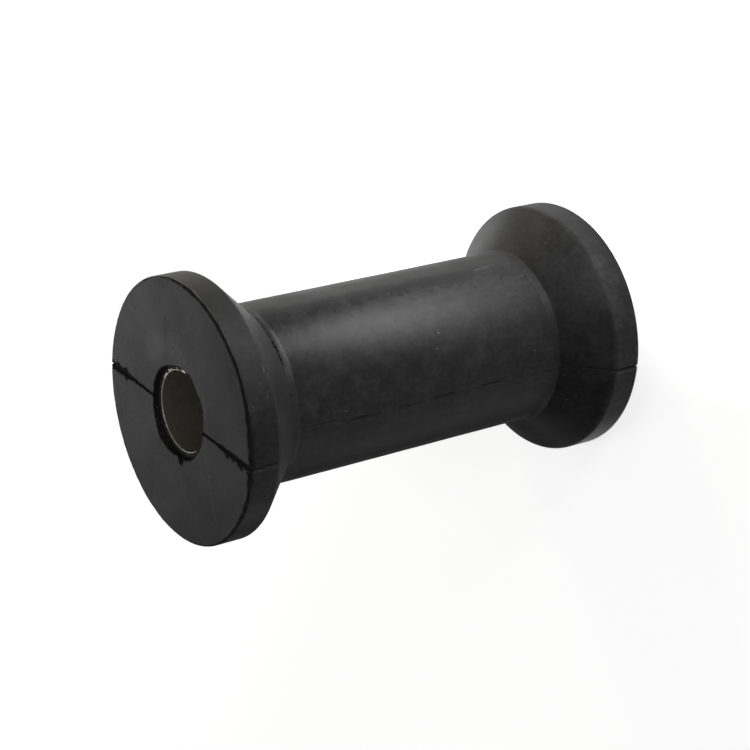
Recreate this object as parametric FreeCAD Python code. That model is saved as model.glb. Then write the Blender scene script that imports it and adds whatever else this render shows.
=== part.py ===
import FreeCAD, Part
import os
from math import tan

# Boat trailer keel roller: a moulded rubber spool on a steel liner tube.
# It stands on one end face, with its axis along +Z and the middle of that face at the origin.
# The two mould halves met in the XZ plane. Millimetres.

# Rubber spool
roller_length = 130.0
flange_diameter = 73.0
rim_width = 8.2
flank_length = 11.6
flare_length = 2.3
flare_height = 0.35
barrel_diameter = 50.0
root_radius = 0.8
flare_radius = 3.0
rim_edge_radius = 0.5
shoulder_radius = 1.0
mouth_chamfer = 0.4

# Parting line left by the two mould halves
parting_line_width = 0.5
parting_line_depth = 0.25

# Steel liner tube, set back from both end faces
liner_bore_diameter = 22.0
liner_wall = 1.5
liner_recess = 1.3
liner_edge_chamfer = 0.3

# The rubber is bonded to the liner, so no gap is left between them
bond_clearance = 0.0

flange_radius = flange_diameter / 2
barrel_radius = barrel_diameter / 2
liner_outer_radius = liner_bore_diameter / 2 + liner_wall
hole_radius = liner_outer_radius + bond_clearance

across_the_parting = FreeCAD.Vector(0, 1, 0)
up = FreeCAD.Vector(0, 0, 1)


def point(radius, height):
    return FreeCAD.Vector(radius, 0, height)


def rounded_outline(corners):
    """Closed outline in the XZ plane through (radius, height, rounding) corners."""
    edges = []
    places = [point(radius, height) for radius, height, rounding in corners]
    starts = []
    ends = []
    for index, corner in enumerate(places):
        rounding = corners[index][2]
        back = (places[index - 1] - corner).normalize()
        ahead = (places[(index + 1) % len(places)] - corner).normalize()
        if rounding == 0:
            starts.append(corner)
            ends.append(corner)
            continue
        half_angle = back.getAngle(ahead) / 2
        reach = rounding / tan(half_angle)
        middle = (back + ahead).normalize()
        to_centre = rounding / back.cross(middle).Length
        crown = corner + middle * (to_centre - rounding)
        starts.append(corner + back * reach)
        ends.append(corner + ahead * reach)
        edges.append(Part.Arc(starts[-1], crown, ends[-1]).toShape())
    for index, end in enumerate(ends):
        edges.append(Part.LineSegment(end, starts[(index + 1) % len(starts)]).toShape())
    return Part.Wire(Part.__sortEdges__(edges))


def spool_corners():
    """Outside of the spool from end to end. The barrel flares a little before it meets each flank."""
    shoulder = rim_width
    foot = shoulder + flank_length
    lower = [
        (flange_radius, 0, rim_edge_radius),
        (flange_radius, shoulder, shoulder_radius),
        (barrel_radius + flare_height, foot, root_radius),
        (barrel_radius, foot + flare_length, flare_radius),
    ]
    upper = [(radius, roller_length - height, rounding) for radius, height, rounding in reversed(lower)]
    return lower + upper


def plain_spool():
    corners = [(0, 0, 0)] + spool_corners() + [(0, roller_length, 0)]
    return Part.Face(rounded_outline(corners)).revolve(FreeCAD.Vector(), up, 360)


def parting_line():
    """Thin band that follows the whole outside in the XZ plane, on both sides of the axis."""
    right = spool_corners()
    left = [(-radius, height, rounding) for radius, height, rounding in reversed(right)]
    section = Part.Face(rounded_outline(right + left))
    core = section.makeOffset2D(-parting_line_depth)
    band = section.cut(core)
    band.translate(across_the_parting * (-parting_line_width / 2))
    return band.extrude(across_the_parting * parting_line_width)


def liner_hole():
    """Hole for the liner, with a small chamfer at both mouths."""
    chamfered = hole_radius + mouth_chamfer
    corners = [
        (0, 0, 0),
        (chamfered, 0, 0),
        (hole_radius, mouth_chamfer, 0),
        (hole_radius, roller_length - mouth_chamfer, 0),
        (chamfered, roller_length, 0),
        (0, roller_length, 0),
    ]
    return Part.Face(rounded_outline(corners)).revolve(FreeCAD.Vector(), up, 360)


def rubber_spool():
    return plain_spool().cut(parting_line()).cut(liner_hole())


def steel_liner():
    """Plain tube with its inner edges broken."""
    bore_radius = liner_bore_diameter / 2
    bottom = liner_recess
    top = roller_length - liner_recess
    corners = [
        (bore_radius + liner_edge_chamfer, bottom, 0),
        (liner_outer_radius, bottom, 0),
        (liner_outer_radius, top, 0),
        (bore_radius + liner_edge_chamfer, top, 0),
        (bore_radius, top - liner_edge_chamfer, 0),
        (bore_radius, bottom + liner_edge_chamfer, 0),
    ]
    return Part.Face(rounded_outline(corners)).revolve(FreeCAD.Vector(), up, 360)


def write(name, shape):
    shape.exportStep(os.path.join("parts", name + ".step"))


os.makedirs("parts", exist_ok=True)
write("rubber_spool", rubber_spool())
write("steel_liner", steel_liner())
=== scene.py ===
from math import atan2, cos, degrees, hypot, pi, radians, sin
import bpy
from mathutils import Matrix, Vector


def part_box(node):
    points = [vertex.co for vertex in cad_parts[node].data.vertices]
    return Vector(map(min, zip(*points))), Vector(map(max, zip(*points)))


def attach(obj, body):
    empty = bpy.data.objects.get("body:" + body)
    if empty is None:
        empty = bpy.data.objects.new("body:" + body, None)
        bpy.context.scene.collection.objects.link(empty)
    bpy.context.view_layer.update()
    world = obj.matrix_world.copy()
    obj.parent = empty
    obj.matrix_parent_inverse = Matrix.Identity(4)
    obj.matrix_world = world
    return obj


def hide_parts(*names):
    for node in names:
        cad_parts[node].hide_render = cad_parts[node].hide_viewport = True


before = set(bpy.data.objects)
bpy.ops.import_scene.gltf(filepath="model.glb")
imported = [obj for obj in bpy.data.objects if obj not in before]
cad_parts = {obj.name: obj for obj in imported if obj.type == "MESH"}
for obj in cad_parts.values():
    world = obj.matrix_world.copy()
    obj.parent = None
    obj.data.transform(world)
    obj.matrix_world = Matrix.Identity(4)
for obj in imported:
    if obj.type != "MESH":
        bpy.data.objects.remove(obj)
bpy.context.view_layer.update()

from types import SimpleNamespace

import bpy
from mathutils import Matrix, Vector, noise

# Boat trailer keel roller: a moulded black rubber spool bonded to a steel liner tube.
# It stands on one end face, with its axis along +Z and the parting line of its mould in the XZ plane.
# Values are in metres, apart from those whose comment says mm or degrees.

MM = 0.001

# Sizes read from the frame
SPOOL_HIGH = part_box("rubber_spool")[1]
LINER_LOW, LINER_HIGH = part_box("steel_liner")
ROLLER_LENGTH = SPOOL_HIGH[2]
FLANGE_RADIUS = SPOOL_HIGH[1]
LINER_OUTSIDE = LINER_HIGH[1]
LINER_BOTTOM = LINER_LOW[2]
LINER_TOP = LINER_HIGH[2]

# Shape of the spool between those sizes
BARREL_RADIUS = 25.0 * MM
RIM_WIDTH = 8.2 * MM
FLANK_LENGTH = 11.6 * MM
FOOT_HEIGHT = RIM_WIDTH + FLANK_LENGTH
FLARE_LENGTH = 2.3 * MM
FLARE_HEIGHT = 0.35 * MM
ROOT_RADIUS = 0.8 * MM
FLARE_RADIUS = 3.0 * MM
RIM_EDGE_RADIUS = 0.5 * MM
SHOULDER_RADIUS = 1.0 * MM
MOUTH_RADIUS = LINER_OUTSIDE + 0.4 * MM
MOUTH_EDGE_RADIUS = 0.2 * MM
MARGIN_RADIUS = 34.6 * MM

# Shape of the liner between those sizes
LINER_BORE_RADIUS = 11.0 * MM
LINER_EDGE = 0.24 * MM
LINER_CORNER = 0.1 * MM
BAND_HEIGHT = 0.7 * MM

# Spacing of the rings and sides that the pieces are turned from
SPOOL_SIDES = 272
LINER_SIDES = 200
FACE_STEP = 0.8 * MM
MARGIN_STEP = 0.25 * MM
RIM_STEP = 0.7 * MM
BARREL_STEP = 1.8 * MM
LINER_STEP = 8 * MM
LINER_END_STEP = 0.15 * MM
ARC_STEPS = 4
SAME_PLACE = 0.001 * MM

# Strips beside the parting line that are cut finer, in mm
STRIP_EDGES = (0.2, 0.5, 0.9, 1.4, 2.0, 2.7)

# Height of the top in mm, and how near to an end a place counts as its face, as the step down to the
# liner inside the mouth, as part of the outer edge, and as the foot of the flank
TOP = ROLLER_LENGTH / MM
FACE_BAND = 0.4
MOUTH_BAND = 1.25
EDGE_BAND = 2.5
FLANK_FOOT = FOOT_HEIGHT / MM
FOOT_BAND = 1.2

# Distances from the axis in mm, from the wall of the hole to the rim
HOLE_WALL = 12.6
MOUTH_WALL = 13.2
NEAR_MOUTH = 14
FOOT_REACH = 27
EDGE_START = 33
RIM_START = 36
FACE_REACH = 36.1

# Half width of the torn parting line in mm, on the end faces by distance from the axis
TORN_MINUS_X = (
    (12, 0.36), (22, 0.42), (25.5, 0.6), (28, 1.1), (30, 0.85), (32.5, 1.15), (34, 0.95), (37, 1.2),
)
TORN_PLUS_X = (
    (12, 0.55), (15, 0.36), (19, 0.4), (23, 0.55), (27.5, 0.8), (30, 0.7), (34, 0.65), (37, 0.9),
)

# The same along the outside, by height: a thin line at the ends and a row of dashes along the barrel
TORN_OUTSIDE = (
    (0, 0.34), (8, 0.3), (12, 0.16), (20, 0.1), (34, 0.12), (37, 0.02), (40.5, 0),
    (42, 0.42), (47, 0.42), (48.5, 0), (56.5, 0.02), (58, 0.32), (64, 0.35), (65.5, 0),
    (67.5, 0.02), (69, 0.33), (75, 0.36), (77, 0), (82, 0.02), (84, 0.36), (91, 0.42), (92.5, 0),
    (96, 0), (97.5, 0.27), (101, 0.24), (103, 0.02), (112, 0.02), (121, 0.1), (124, 0.2), (130, 0.24),
)

# Depth in mm of the torn line on an end face, on a rim and along the rest, and of the other torn places
FACE_LINE_DEPTH = 0.4
RIM_LINE_DEPTH = 0.25
OUTSIDE_LINE_DEPTH = 0.08
MARGIN_DEPTH = 0.22
FOOT_DEPTH = 0.2
SPOT_DEPTH = 0.15
RAW_DEPTH = 0.12

# Slight waves of the moulded skin: size and depth in mm, and seed
WAVES = ((9, 0.035, 53), (2.5, 0.012, 59))

# How far the parting line wanders in mm, on the +X side by height, and on the -X side all along
WANDER = (
    (0, 0.75), (8, 0.8), (16.5, 0.55), (20, -0.5), (34, -0.1), (45, 0.2), (61, -0.1), (72, -0.33),
    (92.5, -0.35), (96, 0.7), (102, 0.76), (108, 0.3), (122, -0.6), (130, -0.9),
)
WANDER_BEHIND = -0.2
WANDER_FADE = (2.6, 6)

# Torn flash along the outer edge of the upper end face: middle and half width in mm, by degrees around
MARGIN_MIDDLE = ((-60, 0.1), (-12, 0.3), (-4, 0.8), (14, 0.7), (40, 0.3), (180, 0.1))
MARGIN_WIDTH = (
    (-180, 0.1), (-60, 0.12), (-50, 0.36), (-12, 0.5), (-4, 1.05), (14, 0.9), (40, 0.5), (92, 0.42),
    (105, 0.1),
)
LOWER_MARGIN_WIDTH = 0.07

# Outline of the upper mouth in mm, by degrees around the axis, and the radius of the lower mouth
MOUTH_OUTLINE = (
    (-180, 13.1), (-148, 13.6), (-130, 14.3), (-107, 13.4), (-89, 12.5), (-60, 12.9), (-41, 12.4),
    (-16, 12.3), (0, 12.1), (30, 13.1), (49, 12.7), (66, 13.5), (90, 12.6), (113, 12.2), (147, 13.0),
    (180, 13.1),
)
LOWER_MOUTH = 13.0
MOUTH_REACH = 20
MOUTH_STEP_HEIGHT = 1.3

# Tag of rubber that is torn out of the upper mouth: degrees around, half width in degrees, length in mm
TAG_ANGLE = -82
TAG_HALF_WIDTH = 7
TAG_LENGTH = 2.0

# Torn spots beside the parting line on the upper end face: x, y and radius in mm
TORN_SPOTS = (
    (-28.3, 1.0, 0.85), (-32.6, 0.9, 0.8), (-35.3, -0.6, 0.9), (-27.8, -1.2, 0.5), (-28.4, -1.45, 0.35),
    (24.7, -1.15, 0.75), (27.6, -0.85, 0.6), (30.1, -1.15, 0.7), (31.5, -1.55, 0.65), (33.8, -0.6, 0.7),
    (13.2, -0.4, 0.6),
)

# Torn bits left in the foot of the upper flank: degrees around the axis and size in mm
FOOT_BITS = (
    (54, 0.55), (51.5, 0.35), (48, 0.4), (45.5, 0.45), (43.5, 0.3), (58, 0.35), (62, 0.3), (24, 0.3),
)
BIT_OFFSET = 0.1 * MM

# Marks on the skin, with painted highlights among the light ones: start, end and half width in mm, how
# broken, and strength
LIGHT_MARKS_AND_PAINTED_HIGHLIGHTS = (
    ((-3.3, 16.1, TOP), (-3.3, 16.1, TOP), 0.45, 0.0, 0.3),
    ((0.3, 16.6, TOP), (0.3, 16.6, TOP), 0.4, 0.0, 0.25),
    ((14, -6.4, TOP), (19.8, -22.8, TOP), 1.1, 0.7, 0.045),
    ((-27.4, 20.5, TOP), (-16, 17.2, TOP), 1.2, 0.7, 0.045),
    ((-14.5, 12.5, TOP), (-11, 15.5, TOP), 5.5, 0.4, 0.12),
    ((-4, 17, TOP), (5, 13.5, TOP), 4.2, 0.9, 0.11),
    ((27.9, 23.5, 122.6), (29.2, 21.9, 122.8), 0.4, 0.6, 0.12),
    ((31.9, 17.8, 123.4), (32.7, 16.3, 123.6), 0.3, 0.8, 0.15),
    ((3.4, 24.8, 35.6), (3.1, 24.8, 31.0), 0.5, 0.5, 0.14),
    ((24.1, 6.6, 28.7), (24.1, 6.6, 28.7), 0.4, 0.0, 0.2),
    ((24.9, 2.6, 93.6), (24.9, 2.6, 93.6), 0.4, 0.0, 0.2),
    ((7.0, 30.4, 13.7), (7.0, 30.4, 13.7), 0.4, 0.0, 0.12),
    # Painted highlights: the lit lower edge of the torn parting line on the lower rim and on the upper
    # rim
    ((36.4, -0.15, 7.8), (36.4, 0.0, 0.6), 0.45, 0.7, 0.1),
    ((36.4, -1.5, 122.2), (36.4, -1.6, 129.4), 0.4, 0.7, 0.08),
)
DARK_MARKS = (
    ((-7.4, 12.5, TOP), (-7.8, 24, TOP), 1.1, 0.4, 1.0),
    ((-2, 24, TOP), (6, 21, TOP), 1.6, 0.9, 0.2),
    ((12, 20, TOP), (17, 12, TOP), 2.2, 0.9, 0.18),
)
OLIVE_MARKS = (
    ((12.3, 8.7, TOP), (13.4, 4.9, TOP), 1.0, 0.6, 0.8),
    ((13.4, 4.9, TOP), (14.1, 0.9, TOP), 0.9, 0.8, 0.7),
)

# Dark arc on the upper face: inner and outer radius, and its angles in radians
ARC_RADII = (22.0 * MM, 22.6 * MM)
ARC_ANGLES = (1.4, 2.1)
ARC_STRENGTH = 0.7

# Tone of the rubber, and what its patches, grain, dark marks and painted light multiply it by
TONE = (0.0096, 0.0176)
BLOTCH_TONE = (0.84, 1.16)
GRAIN_TONE = (0.7, 1.3)
STREAK_TONE = (0.96, 1.15)
# Painted light on the upper face
PAINTED_LIGHT_FACE_TONE = (0.75, 1.75)
# Painted light on the lower rim
LOW_RIM_PAINTED_LIGHT_TONE = 1.75
DARK_MARK_TONE = 0.1
BLUE_SHARE = 1.02

# Painted light: direction in which the upper face is painted lighter, and how far it goes on both sides
# of the axis
PAINTED_LIGHT_SLOPE = (-0.85, 0.5)
PAINTED_LIGHT_REACH = (-35 * MM, 40 * MM)

# Roughness of the rubber. A pair goes from its first to its second value along the stretch of y that
# follows it, or, on the upper face, towards the side that is painted lighter. From one of the low angles
# to the other, the skin takes the roughness that it has where it is seen at a low angle.
SKIN_ROUGHNESS = 0.50
BARREL_ROUGHNESS = (0.55, 0.22)
BARREL_STRETCH = (-12 * MM, 2 * MM)
FACE_ROUGHNESS = (0.56, 0.45)
LOW_ANGLE_ROUGHNESS = (0.80, 0.46)
LOW_ANGLE_STRETCH = (0.0, 15 * MM)
LOW_RIM_ROUGHNESS = (0.50, 0.34)
LOW_RIM_STRETCH = (-8 * MM, -20 * MM)
LOW_ANGLES = (0.5, 0.76)
RAW_ROUGHNESS = 0.95
PATCH_ROUGHNESS = 0.09
RUBBER_SPECULAR = 0.14

# Colours of the rubber
LIGHT_MARK_AND_PAINTED_HIGHLIGHT = (0.30, 0.295, 0.28, 1)
OLIVE_MARK = (0.060, 0.058, 0.036, 1)
DUST_SPECK = (0.25, 0.245, 0.23, 1)
RAW_RUBBER = (0.011, 0.011, 0.011, 1)
MOUTH_CRUMB = (0.075, 0.068, 0.050, 1)

# Colours of the steel
STEEL_GREY = (0.165, 0.168, 0.150, 1)
STEEL_BROWN = (0.150, 0.140, 0.115, 1)
STEEL_CRUST = (0.05, 0.048, 0.04, 1)
STEEL_GRIME = (0.185, 0.160, 0.118, 1)
STEEL_BRIGHT = (0.46, 0.43, 0.38, 1)
CUT_END = (0.040, 0.038, 0.028, 1)
CUT_END_CRUST = (0.012, 0.011, 0.009, 1)

# Pools of light on the floor behind the roller, which its skin mirrors as one long soft highlight:
# name, degrees around the axis, distance from it and power
POOLS = (
    ("pool_back", 80, 0.15, 345),
    ("pool_back_side", 63, 0.12, 155),
    ("pool_left", 165, 0.12, 38),
)

# Low upright lamps: name, degrees around the axis, power and colour
SOFTBOXES = (
    ("back_low", 60, 3.4, (1.0, 1.0, 1.0)),
    ("back_left_low", 130, 3.0, (1.0, 0.93, 0.82)),
    ("left_low", 175, 1.2, (1.0, 1.0, 1.0)),
)

# Lamps above: name, place, size and power
OVERHEADS = (
    ("over_left", (-0.7263, -0.4193, 0.6096), 0.4, 1.5),
    ("over_front", (0.397, 0.145, 0.971), 0.3, 1.2),
)

# Camera, at the photograph's viewing angle. The angles are in degrees, and the lens and sensor in mm.
CAMERA_PLACE = (0.411819, 0.228961, 0.375792)
CAMERA_ANGLES = (-19.4805, 54.4509, 5.8732)
CAMERA_LENS = 96.42
CAMERA_SENSOR = 36


def deselect():
    bpy.ops.object.select_all(action="DESELECT")


def only(piece):
    deselect()
    piece.select_set(True)
    bpy.context.view_layer.objects.active = piece


def shade_smooth(piece, angle):
    only(piece)
    bpy.ops.object.shade_smooth_by_angle(angle=radians(angle))


def soft_step(low, high, value):
    share = min(1.0, max(0.0, (value - low) / (high - low)))
    return share * share * (3 - 2 * share)


def along(pairs, place):
    """Value at a place along a line of (place, value) pairs."""
    if place <= pairs[0][0]:
        return pairs[0][1]
    for (start, before), (end, after) in zip(pairs, pairs[1:]):
        if place <= end:
            return before + (after - before) * (place - start) / (end - start)
    return pairs[-1][1]


def lumps(place, size, seed):
    """Smooth noise with lumps of about this size in mm."""
    return noise.noise(Vector(place) / (size * MM) + Vector((seed, seed * 0.7, 0)))


def near_end(z, reach):
    """True within this reach of one of the spool's ends, in mm."""
    return z < reach or z > TOP - reach


def push_in(mesh, depths):
    """Moves each vertex inwards along its normal, by a depth in mm."""
    normals = [vertex.normal.copy() for vertex in mesh.vertices]
    for vertex, normal, depth in zip(mesh.vertices, normals, depths):
        vertex.co -= normal * depth * MM


def run(start, end, step):
    """Points from start up to, but not including, end, about a step apart."""
    count = max(1, round((end - start).length / step))
    return [start.lerp(end, index / count) for index in range(count)]


def outline(corners, close_step):
    """Points along (radius, height, rounding, step) corners, where a step is that of the run up to it."""
    places = [Vector(corner[:2]) for corner in corners]
    points = []
    here = places[0]
    for index in range(1, len(corners) - 1):
        corner = places[index]
        rounding, step = corners[index][2:]
        back = (places[index - 1] - corner).normalized()
        ahead = (places[index + 1] - corner).normalized()
        if rounding == 0:
            points += run(here, corner, step)
            here = corner
            continue
        half_angle = back.angle(ahead) / 2
        reach = rounding * cos(half_angle) / sin(half_angle)
        centre = corner + (back + ahead).normalized() * (rounding / sin(half_angle))
        arc_start = corner + back * reach
        arc_end = corner + ahead * reach
        points += run(here, arc_start, step)
        spoke = arc_start - centre
        turn = -spoke.angle_signed(arc_end - centre)
        for count in range(ARC_STEPS):
            points.append(centre + Matrix.Rotation(turn * count / ARC_STEPS, 2) @ spoke)
        here = arc_end
    return points + run(here, places[-1], close_step) + [places[-1]]


def turned(name, points, sides):
    """Turns a closed line of (radius, height) points about the axis into one closed mesh."""
    deselect()
    bpy.ops.mesh.primitive_plane_add(size=MM, location=(points[0].x, 0, points[0].y))
    piece = bpy.context.object
    piece.name = name
    bpy.ops.object.transform_apply(location=True, rotation=False, scale=False)
    bpy.ops.object.mode_set(mode="EDIT")
    bpy.ops.mesh.select_mode(type="VERT")
    bpy.ops.mesh.select_all(action="SELECT")
    bpy.ops.mesh.merge(type="CENTER")
    for before, after in zip(points, points[1:] + points[:1]):
        step = (after.x - before.x, 0, after.y - before.y)
        bpy.ops.mesh.extrude_region_move(TRANSFORM_OT_translate={"value": step})
    bpy.ops.mesh.select_all(action="SELECT")
    bpy.ops.mesh.remove_doubles(threshold=SAME_PLACE)
    bpy.ops.mesh.spin(steps=sides, angle=2 * pi, center=(0, 0, 0), axis=(0, 0, 1))
    bpy.ops.mesh.select_all(action="SELECT")
    bpy.ops.mesh.remove_doubles(threshold=SAME_PLACE)
    bpy.ops.mesh.normals_make_consistent(inside=False)
    bpy.ops.object.mode_set(mode="OBJECT")
    return piece


def spool_points():
    """Section of the spool, with its upper half mirrored from the lower one."""
    low = [
        (MOUTH_RADIUS, 0, MOUTH_EDGE_RADIUS, FACE_STEP / 2),
        (MARGIN_RADIUS, 0, 0, FACE_STEP),
        (FLANGE_RADIUS, 0, RIM_EDGE_RADIUS, MARGIN_STEP),
        (FLANGE_RADIUS, RIM_WIDTH, SHOULDER_RADIUS, RIM_STEP),
        (BARREL_RADIUS + FLARE_HEIGHT, FOOT_HEIGHT, ROOT_RADIUS, RIM_STEP),
        (BARREL_RADIUS, FOOT_HEIGHT + FLARE_LENGTH, FLARE_RADIUS, RIM_STEP),
    ]
    steps = [BARREL_STEP] + [corner[3] for corner in reversed(low[1:])]
    high = []
    for corner, step in zip(reversed(low), steps):
        radius, height, rounding = corner[:3]
        high.append((radius, ROLLER_LENGTH - height, rounding, step))
    foot = (LINER_OUTSIDE, LINER_BOTTOM, 0, FACE_STEP)
    head = (LINER_OUTSIDE, LINER_TOP, 0, FACE_STEP)
    return outline([foot] + low + high + [head], FACE_STEP / 2)


def cut_strips(piece):
    """Cuts finer strips on both sides of the parting line and across it."""
    only(piece)
    bpy.ops.object.mode_set(mode="EDIT")
    bpy.ops.mesh.select_mode(type="FACE")
    for edge in STRIP_EDGES:
        for side in (-1, 1):
            plane = (0, side * edge * MM, 0)
            bpy.ops.mesh.select_all(action="SELECT")
            bpy.ops.mesh.bisect(plane_co=plane, plane_no=(0, 1, 0), threshold=SAME_PLACE / 10)
    bpy.ops.mesh.select_all(action="DESELECT")
    bpy.ops.object.mode_set(mode="OBJECT")
    reach = STRIP_EDGES[-1] * MM
    hole = LINER_OUTSIDE + 0.1 * MM
    for face in piece.data.polygons:
        outside = hypot(face.center.x, face.center.y) > hole
        face.select = outside and abs(face.center.y) < reach
    bpy.ops.object.mode_set(mode="EDIT")
    bpy.ops.mesh.subdivide(number_cuts=1)
    bpy.ops.mesh.select_all(action="DESELECT")
    bpy.ops.object.mode_set(mode="OBJECT")


def torn_line(place, x, y, z):
    """Mask of the torn parting line, at a place given in metres and, as x, y and z, in mm."""
    if abs(y) > STRIP_EDGES[-1]:
        return 0.0
    radius = hypot(x, y)
    on_face = near_end(z, FACE_BAND) and radius < FACE_REACH
    if on_face or radius < NEAR_MOUTH:
        half = along(TORN_PLUS_X if x > 0 else TORN_MINUS_X, radius)
        half *= 1 + 0.4 * lumps(place, 1.1, 3) + 0.3 * lumps(place, 0.45, 5)
        return soft_step(-0.06, 0.08, half - abs(y + 0.12 * lumps(place, 2.2, 9)))
    half = along(TORN_OUTSIDE, z)
    ragged = 0.11 * lumps((0, 0, z * MM), 3.1, 17) + 0.11 * lumps(place, 0.8, 23)
    half += min(1, half / 0.15 + 0.3) * ragged
    return soft_step(-0.05, 0.08, half - abs(y + 0.1 * lumps(place, 3.0, 29)))


def torn_margin(place, angle, radius, z):
    """Mask of the torn flash around the outer edge of an end face."""
    upper = z > TOP / 2
    above = TOP - z if upper else z
    if above > EDGE_BAND or radius < EDGE_START:
        return 0.0
    across = FLANGE_RADIUS / MM - radius - above
    half = along(MARGIN_WIDTH, angle) if upper else LOWER_MARGIN_WIDTH
    half *= 1 + 0.7 * lumps(place, 1.6, 31) + 0.5 * lumps(place, 0.6, 37)
    return soft_step(-0.08, 0.1, half - abs(across - along(MARGIN_MIDDLE, angle)))


def torn_foot(place, angle, radius, z):
    """Mask of the crack that is left in the foot of the upper flank."""
    below = TOP - z - FLANK_FOOT
    if abs(below) > FOOT_BAND or radius > FOOT_REACH:
        return 0.0
    reach = soft_step(52, 56, angle) * (1 - soft_step(72, 82, angle)) + 0.5 * soft_step(40, 43, angle)
    half = (0.32 + 0.3 * lumps(place, 0.9, 41)) * min(1.0, reach)
    return soft_step(0.0, 0.12, half - abs(below - 0.1))


def torn_spots(place, x, y, z):
    """Mask of the torn spots beside the parting line on the upper end face."""
    mask = 0.0
    if z > TOP - 0.2 and abs(y) < 4:
        for spot_x, spot_y, size in TORN_SPOTS:
            away = hypot(x - spot_x, y - spot_y)
            if away < 2 * size:
                edge = size * (1 + 0.5 * lumps(place, 0.5, 43))
                mask = max(mask, soft_step(-0.08, 0.1, edge - away))
    return mask


def line_depth(radius, z):
    """Depth of the torn parting line in mm."""
    if near_end(z, FACE_BAND):
        return FACE_LINE_DEPTH
    return RIM_LINE_DEPTH if radius > RIM_START else OUTSIDE_LINE_DEPTH


def wear_skin(piece):
    """Pushes the torn places in, gives the skin its slight waves, and keeps the torn mask on the mesh."""
    mesh = piece.data
    mask = mesh.attributes.new("torn", "FLOAT", "POINT")
    depths = []
    for index, vertex in enumerate(mesh.vertices):
        place = vertex.co.copy()
        x, y, z = (value / MM for value in place)
        radius = hypot(x, y)
        angle = degrees(atan2(y, x))
        line = torn_line(place, x, y, z)
        margin = torn_margin(place, angle, radius, z)
        foot = torn_foot(place, angle, radius, z)
        spots = torn_spots(place, x, y, z)
        depth = max(line_depth(radius, z) * line, MARGIN_DEPTH * margin)
        depth = max(depth, FOOT_DEPTH * foot, SPOT_DEPTH * spots)
        torn = max(line, margin, foot, spots)
        if radius < MOUTH_WALL and near_end(z, MOUTH_BAND):
            torn = max(torn, soft_step(13.3, 12.9, radius) if near_end(z, FACE_BAND) else 1.0)
        depth += torn * RAW_DEPTH * (0.5 + 0.5 * lumps(place, 0.5, 47))
        for size, height, seed in WAVES:
            depth += height * (1 + lumps(place, size, seed)) * soft_step(12.5, 15, radius)
        if radius < HOLE_WALL and not near_end(z, MOUTH_BAND):
            depth = 0.0
        mask.data[index].value = torn
        depths.append(depth)
    push_in(mesh, depths)


def shape_mouths(piece):
    """Makes the two mouths of the hole as uneven as a trimmed rubber edge."""
    for vertex in piece.data.vertices:
        x, y, z = (value / MM for value in vertex.co)
        radius = hypot(x, y)
        if radius > MOUTH_REACH or not near_end(z, MOUTH_BAND):
            continue
        angle = degrees(atan2(y, x))
        if z > TOP / 2:
            above = TOP - z
            wanted = along(MOUTH_OUTLINE, angle)
            wanted += TAG_LENGTH * soft_step(TAG_HALF_WIDTH, TAG_HALF_WIDTH * 0.4, abs(angle - TAG_ANGLE))
        else:
            above = z
            wanted = LOWER_MOUTH + 0.6 * lumps(vertex.co, 7, 61)
        wanted += 0.22 * lumps(vertex.co, 1.2, 67)
        share = soft_step(MOUTH_REACH, LOWER_MOUTH, radius) * (1 - above / MOUTH_STEP_HEIGHT)
        scale = (radius + (wanted - MOUTH_RADIUS / MM) * share) / radius
        vertex.co.x *= scale
        vertex.co.y *= scale


def wander(piece):
    """Lets the parting line wander a little around the roller."""
    for vertex in piece.data.vertices:
        x, y, z = (value / MM for value in vertex.co)
        radius = hypot(x, y)
        if radius < HOLE_WALL or abs(y) > WANDER_FADE[1]:
            continue
        share = (x / max(radius, BARREL_RADIUS / MM) + 1) / 2
        aside = WANDER_BEHIND + (along(WANDER, z) - WANDER_BEHIND) * share
        aside *= 1 - soft_step(*WANDER_FADE, abs(y))
        turn = aside / radius * (1 if x > 0 else -1)
        vertex.co = Matrix.Rotation(turn, 3, "Z") @ vertex.co


def foot_bit(angle, size):
    """Small torn lump of rubber that sits in the foot of the upper flank."""
    radius = BARREL_RADIUS + FLARE_HEIGHT + BIT_OFFSET
    turn = radians(angle)
    place = Vector((radius * cos(turn), radius * sin(turn), ROLLER_LENGTH - FOOT_HEIGHT - BIT_OFFSET))
    deselect()
    bpy.ops.mesh.primitive_ico_sphere_add(subdivisions=2, radius=size * MM, location=place)
    bit = bpy.context.object
    bpy.ops.object.transform_apply(location=True, rotation=False, scale=False)
    for vertex in bit.data.vertices:
        away = vertex.co - place
        vertex.co = place + away * (0.75 + 0.5 * lumps(vertex.co, 0.5, 71))
    mask = bit.data.attributes.new("torn", "FLOAT", "POINT")
    for value in mask.data:
        value.value = 1.0
    return bit


def rubber_spool():
    spool = turned("rubber_spool_moulded", spool_points(), SPOOL_SIDES)
    cut_strips(spool)
    wear_skin(spool)
    shape_mouths(spool)
    wander(spool)
    bits = [foot_bit(angle, size) for angle, size in FOOT_BITS]
    only(spool)
    for bit in bits:
        bit.select_set(True)
    bpy.ops.object.join()
    shade_smooth(spool, 50)
    return spool


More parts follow.
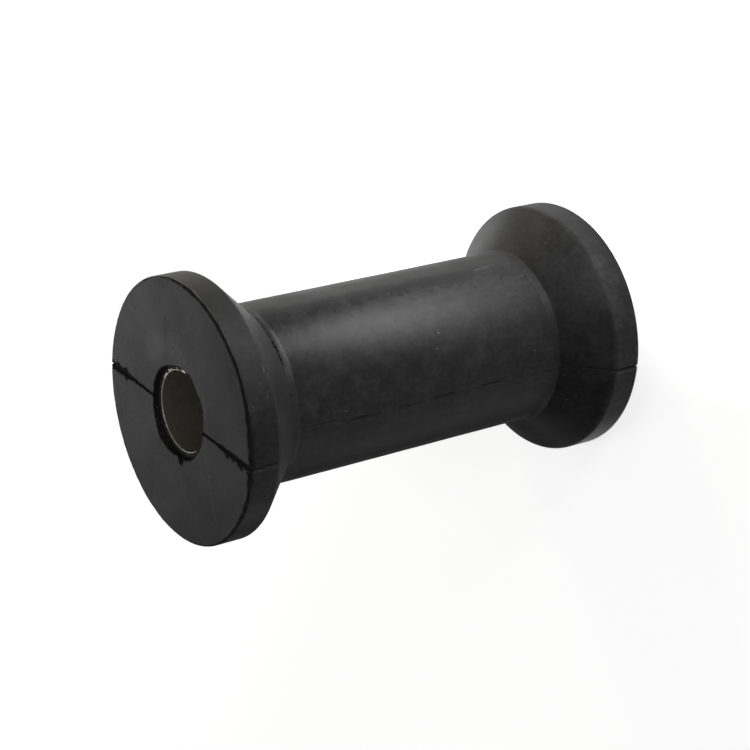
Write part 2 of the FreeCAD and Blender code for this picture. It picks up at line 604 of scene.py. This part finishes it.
def liner_points():
    """Section of the tube, with rings close to each inner edge so that its worn band stays narrow."""
    corner = LINER_CORNER
    low = [
        (LINER_BORE_RADIUS, LINER_BOTTOM + BAND_HEIGHT, 0, LINER_STEP),
        (LINER_BORE_RADIUS, LINER_BOTTOM, LINER_EDGE, LINER_END_STEP),
        (LINER_OUTSIDE - corner, LINER_BOTTOM, 0, LINER_END_STEP),
        (LINER_OUTSIDE, LINER_BOTTOM + corner, 0, corner),
    ]
    high = [
        (LINER_OUTSIDE, LINER_TOP - corner, 0, LINER_STEP),
        (LINER_OUTSIDE - corner, LINER_TOP, 0, corner),
        (LINER_BORE_RADIUS, LINER_TOP, LINER_EDGE, LINER_END_STEP),
        (LINER_BORE_RADIUS, LINER_TOP - BAND_HEIGHT, 0, LINER_END_STEP),
    ]
    start = (LINER_BORE_RADIUS, ROLLER_LENGTH / 2, 0, MM)
    return outline([start] + low + high + [start], LINER_STEP)[:-1]


def wear_liner(piece):
    """Roughens the cut ends of the liner and keeps the bright worn edge as a mask on the mesh."""
    mesh = piece.data
    mask = mesh.attributes.new("bright", "FLOAT", "POINT")
    depths = []
    for index, vertex in enumerate(mesh.vertices):
        place = vertex.co
        wall = hypot(place.x, place.y) / MM - LINER_BORE_RADIUS / MM
        below = min(LINER_TOP - place.z, place.z - LINER_BOTTOM) / MM
        at_end = soft_step(0.5, 0.1, below)
        angle = degrees(atan2(place.y, place.x)) % 360
        worn = soft_step(85, 105, angle) * soft_step(325, 300, angle)
        edge = soft_step(0.32, 0.2, wall) * soft_step(0.36, 0.2, below) * worn
        chipped = soft_step(78, 88, angle) * soft_step(172, 140, angle)
        chips = chipped * soft_step(-0.2, 0.1, lumps(place, 1.1, 83))
        edge = max(edge, 0.52 * chips * at_end * soft_step(1.3, 0.7, wall))
        mask.data[index].value = edge
        rough = 0.05 * (1 + lumps(place, 0.6, 73)) + (1 - edge) * 0.08 * (1 + lumps(place, 0.9, 79))
        depths.append(0.0 if wall > 1.3 else at_end * rough)
    push_in(mesh, depths)


def steel_liner():
    liner = turned("steel_liner_worn", liner_points(), LINER_SIDES)
    wear_liner(liner)
    shade_smooth(liner, 35)
    return liner


def feed(tree, socket, value):
    """Links a socket to another node's output, or sets it to a plain value."""
    if isinstance(value, bpy.types.NodeSocket):
        tree.links.new(value, socket)
    else:
        socket.default_value = value


def node(tree, kind, sockets=None, **settings):
    """Adds a node with its settings, and with a value or a link for each named or numbered socket."""
    made = tree.nodes.new(kind)
    for name, value in settings.items():
        setattr(made, name, value)
    for name, value in (sockets or {}).items():
        feed(tree, made.inputs[name], value)
    return made


def number(tree, operation, first, second=0.0, clamp=False):
    sockets = {0: first, 1: second}
    return node(tree, "ShaderNodeMath", sockets, operation=operation, use_clamp=clamp).outputs[0]


def times(tree, first, second):
    return number(tree, "MULTIPLY", first, second)


def plus(tree, first, second):
    return number(tree, "ADD", first, second)


def minus(tree, first, second):
    return number(tree, "SUBTRACT", first, second)


def vector(tree, operation, first, second=None):
    """Vector Math node. The second value is a vector, or a number for SCALE."""
    sockets = {0: first}
    if second is not None:
        sockets["Scale" if operation == "SCALE" else 1] = second
    return node(tree, "ShaderNodeVectorMath", sockets, operation=operation).outputs


def remap(tree, value, low, high, to_low=0.0, to_high=1.0):
    sockets = {"Value": value, "From Min": low, "From Max": high, "To Min": to_low, "To Max": to_high}
    return node(tree, "ShaderNodeMapRange", sockets, interpolation_type="SMOOTHSTEP").outputs["Result"]


def window(tree, value, low, high, soft):
    """Mask that is 1 between a low and a high value."""
    inside = remap(tree, value, low - soft, low + soft)
    return times(tree, inside, remap(tree, value, high + soft, high - soft))


def mix(tree, share, first, second):
    sockets = {"Factor": share, "A": first, "B": second}
    return node(tree, "ShaderNodeMix", sockets, data_type="FLOAT").outputs["Result"]


def mix_colour(tree, share, first, second):
    made = node(tree, "ShaderNodeMix", {"Factor": share}, data_type="RGBA")
    colours = [socket for socket in made.inputs if socket.type == "RGBA"]
    for socket, value in zip(colours, (first, second)):
        feed(tree, socket, value)
    return [socket for socket in made.outputs if socket.type == "RGBA"][0]


def new_group(name, wanted):
    """Shader node group with (name, default) inputs, of which None is a vector, and one output, Value."""
    group = bpy.data.node_groups.new(name, "ShaderNodeTree")
    for socket_name, default in wanted:
        kind = "NodeSocketVector" if default is None else "NodeSocketFloat"
        socket = group.interface.new_socket(socket_name, in_out="INPUT", socket_type=kind)
        if default is not None:
            socket.default_value = default
    group.interface.new_socket("Value", in_out="OUTPUT", socket_type="NodeSocketFloat")
    return group, group.nodes.new("NodeGroupInput").outputs


def close_group(group, value):
    group.links.new(value, group.nodes.new("NodeGroupOutput").inputs["Value"])
    return group


def make_clouds():
    """Uneven patches: Value goes from 0 to 1 over noise of the given scale per metre."""
    wanted = (("Place", None), ("Scale", 100.0), ("Detail", 3.0), ("Spread", 0.15))
    group, given = new_group("clouds", wanted)
    sockets = {"Vector": given["Place"], "Scale": given["Scale"], "Detail": given["Detail"]}
    uneven = node(group, "ShaderNodeTexNoise", sockets).outputs["Fac"]
    low = minus(group, 0.5, given["Spread"])
    high = plus(group, 0.5, given["Spread"])
    return close_group(group, remap(group, uneven, low, high))


def make_specks():
    """Sparse small round specks: Value is 1 on a speck. Share says how many of the cells have one."""
    wanted = (("Place", None), ("Scale", 400.0), ("Size", 0.2), ("Share", 0.3))
    group, given = new_group("specks", wanted)
    sockets = {"Vector": given["Place"], "Scale": given["Scale"]}
    cells = node(group, "ShaderNodeTexVoronoi", sockets, voronoi_dimensions="3D").outputs
    inner = times(group, given["Size"], 0.5)
    spot = remap(group, cells["Distance"], inner, given["Size"], 1.0, 0.0)
    parts = node(group, "ShaderNodeSeparateColor", {0: cells["Color"]}).outputs
    chosen = number(group, "LESS_THAN", parts[0], given["Share"])
    return close_group(group, times(group, spot, chosen))


def make_scuff():
    """Thin mark between two places: Value is 1 on it and fades at its edge. Breaks makes it patchy."""
    wanted = (("Place", None), ("From", None), ("To", None), ("Width", 0.3 * MM), ("Breaks", 0.0))
    group, given = new_group("scuff", wanted)
    whole = vector(group, "SUBTRACT", given["To"], given["From"])["Vector"]
    part = vector(group, "SUBTRACT", given["Place"], given["From"])["Vector"]
    reach = number(group, "MAXIMUM", vector(group, "DOT_PRODUCT", whole, whole)["Value"], 1e-12)
    share = number(group, "DIVIDE", vector(group, "DOT_PRODUCT", part, whole)["Value"], reach, True)
    nearest = vector(group, "SCALE", whole, share)["Vector"]
    away = vector(group, "DISTANCE", part, nearest)["Value"]
    sockets = {"Vector": given["Place"], "Scale": 900.0, "Detail": 2.0}
    broken = node(group, "ShaderNodeTexNoise", sockets).outputs["Fac"]
    gap = times(group, remap(group, broken, 0.62, 0.38), given["Breaks"])
    inner = times(group, given["Width"], 0.25)
    fade = remap(group, away, given["Width"], inner)
    return close_group(group, times(group, fade, minus(group, 1.0, gap)))


CLOUDS = make_clouds()
SPECKS = make_specks()
SCUFF = make_scuff()


def use_group(tree, group, sockets):
    return node(tree, "ShaderNodeGroup", sockets, node_tree=group).outputs["Value"]


def clouds(tree, place, scale, detail, spread):
    sockets = {"Place": place, "Scale": scale, "Detail": detail, "Spread": spread}
    return use_group(tree, CLOUDS, sockets)


def specks(tree, place, scale, size, share):
    return use_group(tree, SPECKS, {"Place": place, "Scale": scale, "Size": size, "Share": share})


def marks(tree, place, wanted):
    """Mask of several scuffs, each given as (start, end, half width, breaks, strength) in mm."""
    mask = 0.0
    for start, end, width, breaks, strength in wanted:
        sockets = {"Place": place, "Width": width * MM, "Breaks": breaks}
        sockets["From"] = [value * MM for value in start]
        sockets["To"] = [value * MM for value in end]
        mark = use_group(tree, SCUFF, sockets)
        mask = number(tree, "MAXIMUM", mask, times(tree, mark, strength))
    return mask


def new_material(name):
    material = bpy.data.materials.new(name)
    material.use_nodes = True
    return material, material.node_tree, material.node_tree.nodes["Principled BSDF"].inputs


def object_place(tree):
    """Place on the piece, and its parts X, Y and Z."""
    place = node(tree, "ShaderNodeTexCoord").outputs["Object"]
    return place, node(tree, "ShaderNodeSeparateXYZ", {0: place}).outputs


def spool_zones(tree):
    """Place on the spool and masks of its regions."""
    place, parts = object_place(tree)
    x, y, height = (parts[name] for name in "XYZ")
    radius = vector(tree, "LENGTH", vector(tree, "MULTIPLY", place, (1, 1, 0))["Vector"])["Value"]
    on_rim = remap(tree, radius, FLANGE_RADIUS - 0.9 * MM, FLANGE_RADIUS - 0.3 * MM)
    slope = plus(tree, times(tree, x, PAINTED_LIGHT_SLOPE[0]), times(tree, y, PAINTED_LIGHT_SLOPE[1]))
    return SimpleNamespace(
        place=place,
        y=y,
        radius=radius,
        angle=number(tree, "ARCTAN2", y, x),
        on_barrel=window(tree, height, 21.5 * MM, 108.5 * MM, 1 * MM),
        on_face=remap(tree, height, ROLLER_LENGTH - 0.7 * MM, ROLLER_LENGTH - 0.4 * MM),
        on_top=remap(tree, height, ROLLER_LENGTH - 2.2 * MM, ROLLER_LENGTH - 1.8 * MM),
        on_low_rim=times(tree, on_rim, remap(tree, height, 12 * MM, 10 * MM)),
        # Painted light: share of the way towards the side of the upper face that is painted lighter
        towards_painted_light=remap(tree, slope, *PAINTED_LIGHT_REACH),
    )


def spool_unevenness(tree, zones):
    """Unevenness of the moulded skin: broad and small patches, grain, and streaks along the barrel."""
    place = zones.place
    large = clouds(tree, place, 55.0, 3.0, 0.2)
    small = clouds(tree, place, 260.0, 3.0, 0.3)
    stretched = vector(tree, "MULTIPLY", place, (1, 1, 0.05))["Vector"]
    return SimpleNamespace(
        small=small,
        patches=plus(tree, times(tree, large, 0.6), times(tree, small, 0.4)),
        blotches=clouds(tree, place, 130.0, 2.0, 0.12),
        grain=clouds(tree, place, 800.0, 1.0, 0.3),
        streaks=times(tree, clouds(tree, stretched, 500.0, 1.0, 0.2), zones.on_barrel),
    )


def torn_places(tree, zones):
    """Torn mask with a ragged edge, broken into dots along the barrel."""
    torn = node(tree, "ShaderNodeAttribute", attribute_name="torn").outputs["Fac"]
    sockets = {"Vector": zones.place, "Scale": 1600.0, "Detail": 3.0}
    uneven = minus(tree, node(tree, "ShaderNodeTexNoise", sockets).outputs["Fac"], 0.5)
    ragged = plus(tree, torn, times(tree, uneven, 0.8))
    dotted = times(tree, torn, plus(tree, 1.0, times(tree, uneven, 3.0)))
    return remap(tree, mix(tree, zones.on_barrel, ragged, dotted), 0.4, 0.6)


def skin_tone(tree, zones, uneven):
    """Grey of the skin, with painted light: lighter on the mottled lower rim and towards one side of the
    upper face.
    """
    # Painted light: the upper face painted lighter towards one side
    painted_light_face = times(tree, zones.on_face, zones.towards_painted_light)
    # Painted light: the lower rim painted lighter, with mottled patches
    low_rim_painted_light = times(tree, zones.on_low_rim, mix(tree, uneven.small, 0.75, 1.25))
    arc = times(
        tree,
        window(tree, zones.radius, *ARC_RADII, 0.2 * MM),
        window(tree, zones.angle, *ARC_ANGLES, 0.25),
    )
    arc = times(tree, times(tree, arc, zones.on_face), ARC_STRENGTH)
    dark = number(tree, "MAXIMUM", marks(tree, zones.place, DARK_MARKS), arc)
    tone = mix(tree, uneven.patches, *TONE)
    for mask, low, high in (
        (uneven.blotches, *BLOTCH_TONE),
        (uneven.grain, *GRAIN_TONE),
        (uneven.streaks, *STREAK_TONE),
        (painted_light_face, *PAINTED_LIGHT_FACE_TONE),
        (low_rim_painted_light, 1.0, LOW_RIM_PAINTED_LIGHT_TONE),
        (dark, 1.0, DARK_MARK_TONE),
    ):
        tone = times(tree, tone, mix(tree, mask, low, high))
    return tone


def rubber_colour(tree, zones, uneven, torn):
    place = zones.place
    tone = skin_tone(tree, zones, uneven)
    sockets = {0: tone, 1: tone, 2: times(tree, tone, BLUE_SHARE)}
    skin = node(tree, "ShaderNodeCombineColor", sockets).outputs[0]
    skin = mix_colour(tree, marks(tree, place, OLIVE_MARKS), skin, OLIVE_MARK)
    # Light marks, and painted highlights along the parting line on the rims
    skin = mix_colour(tree, marks(tree, place, LIGHT_MARKS_AND_PAINTED_HIGHLIGHTS), skin, LIGHT_MARK_AND_PAINTED_HIGHLIGHT)
    dust = times(tree, specks(tree, place, 420.0, 0.13, 0.05), 0.25)
    skin = mix_colour(tree, dust, skin, DUST_SPECK)
    in_mouth = times(tree, remap(tree, zones.radius, 14.2 * MM, 13.6 * MM), zones.on_top)
    crumbs = times(tree, specks(tree, place, 1300.0, 0.32, 0.3), in_mouth)
    raw = mix_colour(tree, crumbs, RAW_RUBBER, MOUTH_CRUMB)
    return mix_colour(tree, torn, skin, raw)


def rubber_roughness(tree, zones, uneven, torn):
    """The barrel is the smoothest, and all of the skin is duller where it is seen at a low angle."""
    facing = node(tree, "ShaderNodeLayerWeight", {"Blend": 0.5}).outputs["Facing"]
    barrel = mix(tree, remap(tree, zones.y, *BARREL_STRETCH), *BARREL_ROUGHNESS)
    rough = mix(tree, zones.on_barrel, SKIN_ROUGHNESS, barrel)
    rough = mix(tree, zones.on_face, rough, mix(tree, zones.towards_painted_light, *FACE_ROUGHNESS))
    low_angle = mix(tree, remap(tree, zones.y, *LOW_ANGLE_STRETCH), *LOW_ANGLE_ROUGHNESS)
    low_rim = remap(tree, zones.y, *LOW_RIM_STRETCH, *LOW_RIM_ROUGHNESS)
    low_angle = mix(tree, zones.on_low_rim, low_angle, low_rim)
    rough = mix(tree, remap(tree, facing, *LOW_ANGLES), rough, low_angle)
    rough = plus(tree, rough, times(tree, minus(tree, uneven.patches, 0.5), PATCH_ROUGHNESS))
    return mix(tree, torn, rough, RAW_ROUGHNESS)


def rubber_relief(tree, zones, uneven):
    pits = times(tree, specks(tree, zones.place, 520.0, 0.2, 0.1), 0.6)
    relief = minus(tree, times(tree, uneven.grain, 0.15), pits)
    relief = plus(tree, relief, times(tree, uneven.small, 0.8))
    sockets = {"Strength": 0.4, "Distance": 0.03 * MM, "Height": relief}
    return node(tree, "ShaderNodeBump", sockets).outputs["Normal"]


def rubber_material():
    material, tree, shader = new_material("black_rubber")
    zones = spool_zones(tree)
    uneven = spool_unevenness(tree, zones)
    torn = torn_places(tree, zones)
    feed(tree, shader["Base Color"], rubber_colour(tree, zones, uneven, torn))
    feed(tree, shader["Roughness"], rubber_roughness(tree, zones, uneven, torn))
    feed(tree, shader["Normal"], rubber_relief(tree, zones, uneven))
    shader["Specular IOR Level"].default_value = RUBBER_SPECULAR
    return material


def steel_material():
    """Dull, stained tube, dark at its cut end, with a bright worn edge and chips."""
    material, tree, shader = new_material("liner_steel")
    place, parts = object_place(tree)
    bright = node(tree, "ShaderNodeAttribute", attribute_name="bright").outputs["Fac"]
    grit = clouds(tree, place, 900.0, 4.0, 0.25)
    rust = clouds(tree, place, 320.0, 5.0, 0.12)
    crust = clouds(tree, place, 2200.0, 3.0, 0.2)
    bright = remap(tree, plus(tree, bright, times(tree, grit, -0.25)), 0.25, 0.5)
    cut_end = remap(tree, parts["Z"], LINER_TOP - 0.5 * MM, LINER_TOP - 0.15 * MM)
    grime = times(tree, remap(tree, parts["Y"], -3 * MM, -10 * MM), mix(tree, rust, 0.4, 1.0))

    dull = mix_colour(tree, rust, STEEL_GREY, STEEL_BROWN)
    dull = mix_colour(tree, times(tree, crust, 0.35), dull, STEEL_CRUST)
    dull = mix_colour(tree, grime, dull, STEEL_GRIME)
    dull = mix_colour(tree, cut_end, dull, mix_colour(tree, crust, CUT_END, CUT_END_CRUST))
    feed(tree, shader["Base Color"], mix_colour(tree, bright, dull, STEEL_BRIGHT))
    feed(tree, shader["Metallic"], mix(tree, bright, 0.1, 0.7))
    matt = mix(tree, cut_end, mix(tree, crust, 0.65, 0.85), 0.95)
    feed(tree, shader["Roughness"], mix(tree, bright, matt, 0.35))
    relief = plus(tree, times(tree, crust, 0.5), grit)
    sockets = {"Strength": 0.5, "Distance": 0.05 * MM, "Height": relief}
    feed(tree, shader["Normal"], node(tree, "ShaderNodeBump", sockets).outputs["Normal"])
    return material


def floor_material():
    """Pale floor, lifted to white where a camera, a gloss or a glass ray meets it, with shadows kept."""
    material, tree, shader = new_material("floor_white")
    shader["Base Color"].default_value = (0.8, 0.8, 0.8, 1)
    shader["Roughness"].default_value = 1.0
    shader["Specular IOR Level"].default_value = 0.0
    shader["Emission Color"].default_value = (1, 1, 1, 1)
    rays = node(tree, "ShaderNodeLightPath").outputs
    mirrored = number(tree, "MAXIMUM", rays["Is Glossy Ray"], rays["Is Transmission Ray"])
    seen = times(tree, rays["Is Camera Ray"], 0.65)
    feed(tree, shader["Emission Strength"], plus(tree, seen, times(tree, mirrored, 0.4)))
    return material


def white_floor():
    deselect()
    bpy.ops.mesh.primitive_plane_add(size=8, location=(0, 0, 0))
    floor = bpy.context.object
    floor.name = "floor"
    floor.data.materials.append(floor_material())
    return floor


def lamp(name, kind, power, place, aim):
    """Lamp at a place, turned to face another place."""
    data = bpy.data.lights.new(name, kind)
    data.energy = power
    made = bpy.data.objects.new(name, data)
    bpy.context.collection.objects.link(made)
    made.location = place
    made.rotation_euler = (Vector(aim) - Vector(place)).to_track_quat("-Z", "Y").to_euler()
    return data


def pool(name, degrees_around, distance, power):
    """Soft round pool of light on the floor at this distance from the roller's axis."""
    turn = radians(degrees_around)
    place = (0.5 * cos(turn), 0.5 * sin(turn), 0.6)
    aim = (distance * cos(turn), distance * sin(turn), 0)
    data = lamp(name, "SPOT", power, place, aim)
    data.spot_size = radians(9)
    data.spot_blend = 1
    data.shadow_soft_size = 0.05


def softbox(name, degrees_around, power, colour):
    """Upright soft lamp as high as the roller, which it faces from 0.8 m."""
    turn = radians(degrees_around)
    data = lamp(name, "AREA", power, (0.8 * cos(turn), 0.8 * sin(turn), 0.065), (0, 0, 0.065))
    data.shape = "RECTANGLE"
    data.size = 0.2
    data.size_y = 0.12
    data.color = colour


def overhead(name, place, size, power):
    """Square soft lamp above, aimed at the roller."""
    data = lamp(name, "AREA", power, place, (0, 0, 0.065))
    data.size = size


spool = rubber_spool()
spool.data.materials.append(rubber_material())
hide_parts("rubber_spool")
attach(spool, "root")

liner = steel_liner()
liner.data.materials.append(steel_material())
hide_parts("steel_liner")
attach(liner, "root")

white_floor()

for name, around, distance, power in POOLS:
    pool(name, around, distance, power)
for name, around, power, colour in SOFTBOXES:
    softbox(name, around, power, colour)
for name, place, size, power in OVERHEADS:
    overhead(name, place, size, power)

world = bpy.data.worlds.new("studio")
bpy.context.scene.world = world
world.use_nodes = True
world.node_tree.nodes["Background"].inputs["Color"].default_value = (0.18, 0.18, 0.18, 1)

camera = bpy.data.objects.new("camera", bpy.data.cameras.new("camera"))
bpy.context.collection.objects.link(camera)
camera.location = CAMERA_PLACE
camera.rotation_euler = [radians(angle) for angle in CAMERA_ANGLES]
camera.data.sensor_width = CAMERA_SENSOR
camera.data.lens = CAMERA_LENS
bpy.context.scene.camera = camera
bpy.context.scene.view_settings.view_transform = "Standard"
